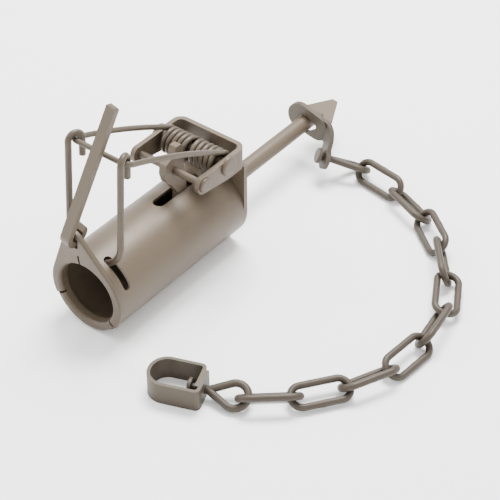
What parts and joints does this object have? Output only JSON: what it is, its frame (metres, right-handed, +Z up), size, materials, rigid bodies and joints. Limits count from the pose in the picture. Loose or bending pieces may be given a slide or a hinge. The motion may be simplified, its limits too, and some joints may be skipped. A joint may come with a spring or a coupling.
{
  "type": "enclosed tubular foothold trap",
  "caption": "Tube foothold trap with a spring-driven strike bar across its mouth, a setting lever, a trigger, a ground stake and a swivel chain.",
  "frame": {"origin": "centre of the paw hole on the front plate's outer face", "axes": "-Y out of the mouth along the tube, +Y to the stake's point, +Z up, +X towards the chain's side"},
  "size_m": [0.1964, 0.2614, 0.1487],
  "materials": {
    "bar_paint": "satin powder coat",
    "bracket_paint": "satin powder coat",
    "chain_paint": "satin powder coat",
    "eye_paint": "satin powder coat",
    "lever_paint": "satin powder coat",
    "plate_paint": "satin powder coat",
    "rivet_steel": "dull zinc",
    "spring_paint": "satin powder coat",
    "stake_paint": "satin powder coat",
    "strap_paint": "satin powder coat",
    "trigger_paint": "satin powder coat",
    "tube_paint": "satin powder coat"
  },
  "bodies": {
    "trap_body": {"body_tube": "tube_paint", "front_plate": "plate_paint", "rear_bracket": "bracket_paint", "spring_axle": "rivet_steel", "trigger_pin": "rivet_steel", "spring_coils": "spring_paint", "stake_rod": "stake_paint", "stake_point": "stake_paint"},
    "bail": {"spring_bail": "spring_paint"},
    "strike_bar": {"strike_bar": "bar_paint"},
    "setting_lever": {"setting_lever": "lever_paint"},
    "trigger": {"trigger": "trigger_paint"},
    "swivel_strap": {"swivel_strap": "strap_paint"},
    "swivel_eye": {"swivel_eye": "eye_paint"},
    "chain_link_01": {"chain_link_01": "chain_paint"},
    "chain_link_02": {"chain_link_02": "chain_paint"},
    "chain_link_03": {"chain_link_03": "chain_paint"},
    "chain_link_04": {"chain_link_04": "chain_paint"},
    "chain_link_05": {"chain_link_05": "chain_paint"},
    "chain_link_06": {"chain_link_06": "chain_paint"},
    "chain_link_07": {"chain_link_07": "chain_paint"},
    "chain_link_08": {"chain_link_08": "chain_paint"},
    "chain_link_09": {"chain_link_09": "chain_paint"},
    "chain_link_10": {"chain_link_10": "chain_paint"},
    "end_eye": {"end_eye": "eye_paint"},
    "end_swivel": {"end_swivel": "strap_paint"}
  },
  "joints": [
    {"name": "bail_swing", "type": "hinge", "parent": "trap_body", "child": "bail", "pos_m": [0, 0.0973, 0.0432], "axis": [1, 0, 0], "range_deg": [0, 24.8], "stiffness_Nm_per_rad": 0.3, "springref_deg": -17.19, "deforming": ["spring_coils"]},
    {"name": "strike_bar_hang", "type": "hinge", "parent": "bail", "child": "strike_bar", "pos_m": [0, 0.01895, 0.0891], "axis": [1, 0, 0], "range_deg": [-9.8, 0.1]},
    {"name": "lever_swing", "type": "hinge", "parent": "trap_body", "child": "setting_lever", "pos_m": [-0.0068, 0.0015, 0.0396], "axis": [0.9796, -0.0581, -0.1925], "range_deg": [0, 112]},
    {"name": "trigger_tilt", "type": "hinge", "parent": "trap_body", "child": "trigger", "pos_m": [0, 0.076, 0.0432], "axis": [-1, 0, 0], "range_deg": [-12, 25]},
    {"name": "strap_turn", "type": "hinge", "parent": "trap_body", "child": "swivel_strap", "pos_m": [0, 0.207, 0.0012], "axis": [0, -1, 0], "range_deg": [-200, 55]},
    {"name": "eye_spin", "type": "hinge", "parent": "swivel_strap", "child": "swivel_eye", "pos_m": [0.0241, 0.1958, -0.009], "axis": [0.6857, 0.6161, -0.3876], "continuous": true},
    {"name": "chain_bend_01", "type": "hinge", "parent": "swivel_eye", "child": "chain_link_01", "pos_m": [0.043, 0.2107, -0.0184], "axis": [0, 0, 1], "range_deg": [-6, 14]},
    {"name": "chain_bend_02", "type": "hinge", "parent": "chain_link_01", "child": "chain_link_02", "pos_m": [0.0725, 0.2051, -0.0184], "axis": [0, 0, -1], "range_deg": [-7, 5]},
    {"name": "chain_bend_03", "type": "hinge", "parent": "chain_link_02", "child": "chain_link_03", "pos_m": [0.0996, 0.1939, -0.0189], "axis": [0, 0, 1], "range_deg": [-8, 12]},
    {"name": "chain_bend_04", "type": "hinge", "parent": "chain_link_03", "child": "chain_link_04", "pos_m": [0.1228, 0.1763, -0.0178], "axis": [0, 0, -1], "range_deg": [-25, 7]},
    {"name": "chain_bend_05", "type": "hinge", "parent": "chain_link_04", "child": "chain_link_05", "pos_m": [0.1419, 0.1553, -0.0178], "axis": [0, 0, 1], "range_deg": [-9, 3]},
    {"name": "chain_bend_06", "type": "hinge", "parent": "chain_link_05", "child": "chain_link_06", "pos_m": [0.1564, 0.1309, -0.0181], "axis": [0, 0, -1], "range_deg": [-8, 9]},
    {"name": "chain_bend_07", "type": "hinge", "parent": "chain_link_06", "child": "chain_link_07", "pos_m": [0.1613, 0.1018, -0.0187], "axis": [0, 0, 1], "range_deg": [-16, 8]},
    {"name": "chain_bend_08", "type": "hinge", "parent": "chain_link_07", "child": "chain_link_08", "pos_m": [0.1594, 0.0727, -0.0193], "axis": [0, 0, -1], "range_deg": [-24, 11]},
    {"name": "chain_bend_09", "type": "hinge", "parent": "chain_link_08", "child": "chain_link_09", "pos_m": [0.1477, 0.0461, -0.0192], "axis": [0, 0, 1], "range_deg": [-6, 7]},
    {"name": "chain_bend_10", "type": "hinge", "parent": "chain_link_09", "child": "chain_link_10", "pos_m": [0.1307, 0.023, -0.0191], "axis": [0, 0, -1], "range_deg": [-14, 25]},
    {"name": "chain_bend_11", "type": "hinge", "parent": "chain_link_10", "child": "end_eye", "pos_m": [0.109, 0.0049, -0.0189], "axis": [0, 0, 1], "range_deg": [-6, 25]},
    {"name": "end_swivel_spin", "type": "hinge", "parent": "end_eye", "child": "end_swivel", "pos_m": [0.0867, -0.0032, -0.0191], "axis": [0.9336, 0.3584, 0], "continuous": true}
  ],
  "couplings": [
    {"joint": "strike_bar_hang", "follows": "bail_swing", "ratio": -0.39}
  ]
}
